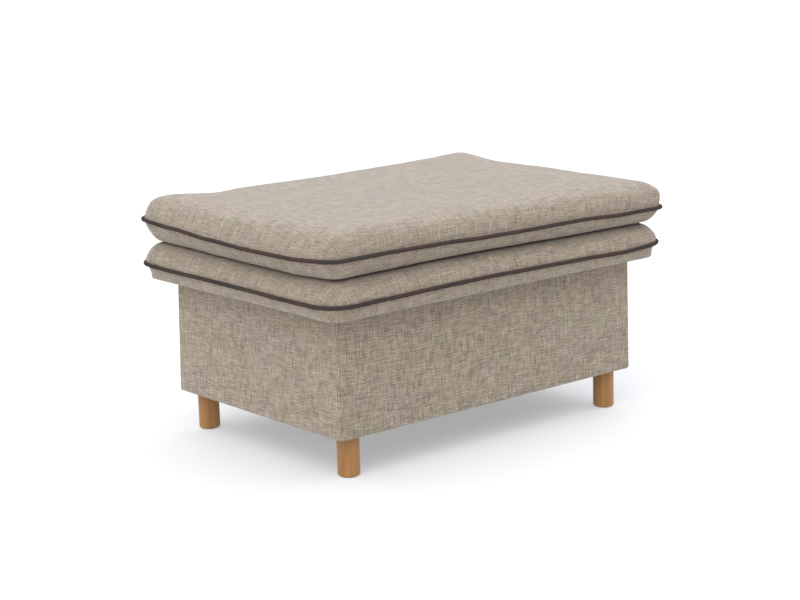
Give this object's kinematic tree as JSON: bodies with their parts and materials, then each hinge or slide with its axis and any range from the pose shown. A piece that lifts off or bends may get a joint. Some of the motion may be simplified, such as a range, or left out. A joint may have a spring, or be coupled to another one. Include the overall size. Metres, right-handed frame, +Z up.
{
  "type": "storage ottoman",
  "caption": "Upholstered box stool on round wooden legs, with a hinged padded lid over a storage space and a loose piped cushion on top.",
  "frame": {"origin": "on the floor, under the middle of the stool", "axes": "+X along the length to the right, -Y the front long side, +Y the hinged rear, +Z up"},
  "size_m": [0.908, 0.674, 0.4886],
  "materials": {
    "board": "raw particle board and softwood, matte",
    "upholstery_fabric": "woven linen look, matte",
    "piping_fabric": "dark woven, matte",
    "foam": "open cell foam, matte",
    "wadding": "fluffy polyester, matte",
    "lining_cloth": "thin non-woven cloth, matte",
    "felt": "felt, matte",
    "leg_wood": "satin clear lacquer",
    "steel": "zinc plated, satin",
    "nylon": "matte",
    "hook_and_loop": "matte"
  },
  "bodies": {
    "base": {"front_panel": "board", "back_panel": "board", "left_panel": "board", "right_panel": "board", "floor_panel": "board", "floor_battens": "board", "leg_blocks": "board", "panel_screws": "steel", "wadding": "wadding", "body_cover": "upholstery_fabric", "lining": "lining_cloth", "dust_cover": "lining_cloth", "rim_bumpers": "felt", "leg_front_left": "leg_wood", "leg_front_right": "leg_wood", "leg_rear_left": "leg_wood", "leg_rear_right": "leg_wood", "leg_bolts": "steel", "leg_inserts": "steel", "leg_glides": "felt", "hinge_box_leaf_left": "steel", "hinge_box_leaf_right": "steel", "hinge_pin_left": "steel", "hinge_pin_right": "steel", "hinge_box_screws": "steel", "stay_track_left": "steel", "stay_track_right": "steel", "stay_track_screws": "steel"},
    "lid": {"lid_board": "board", "lid_underside_cloth": "lining_cloth", "lower_pad_foam": "foam", "lower_pad_bottom_cover": "upholstery_fabric", "lower_pad_top_cover": "upholstery_fabric", "lower_pad_piping": "piping_fabric", "hinge_lid_leaf_left": "steel", "hinge_lid_leaf_right": "steel", "hinge_lid_screws": "steel", "stay_bracket_left": "steel", "stay_bracket_right": "steel", "stay_rivet_left": "steel", "stay_rivet_right": "steel", "stay_bracket_screws": "steel", "hook_strips": "hook_and_loop"},
    "top_cushion": {"upper_pad_foam": "foam", "upper_pad_bottom_cover": "upholstery_fabric", "upper_pad_top_cover": "upholstery_fabric", "upper_pad_piping": "piping_fabric", "loop_strips": "hook_and_loop"},
    "stay_arm_left": {"stay_arm_left": "steel", "stay_slider_left": "nylon"},
    "stay_arm_right": {"stay_arm_right": "steel", "stay_slider_right": "nylon"}
  },
  "joints": [
    {"name": "lid_hinge", "type": "hinge", "parent": "base", "child": "lid", "pos_m": [0, 0.2775, 0.3205], "axis": [-1, 0, 0], "range_deg": [0, 75]},
    {"name": "cushion_lift", "type": "slide", "parent": "lid", "child": "top_cushion", "axis": [0, 0, 1], "range_m": [0, 0.25]},
    {"name": "stay_left", "type": "hinge", "parent": "lid", "child": "stay_arm_left", "pos_m": [0, 0.0781, 0.305], "axis": [-1, 0, 0], "range_deg": [-150, 0]},
    {"name": "stay_right", "type": "hinge", "parent": "lid", "child": "stay_arm_right", "pos_m": [0, 0.0781, 0.305], "axis": [-1, 0, 0], "range_deg": [-150, 0]}
  ],
  "couplings": [
    {"joint": "stay_left", "follows": "lid_hinge", "ratio": -2},
    {"joint": "stay_right", "follows": "lid_hinge", "ratio": -2}
  ]
}
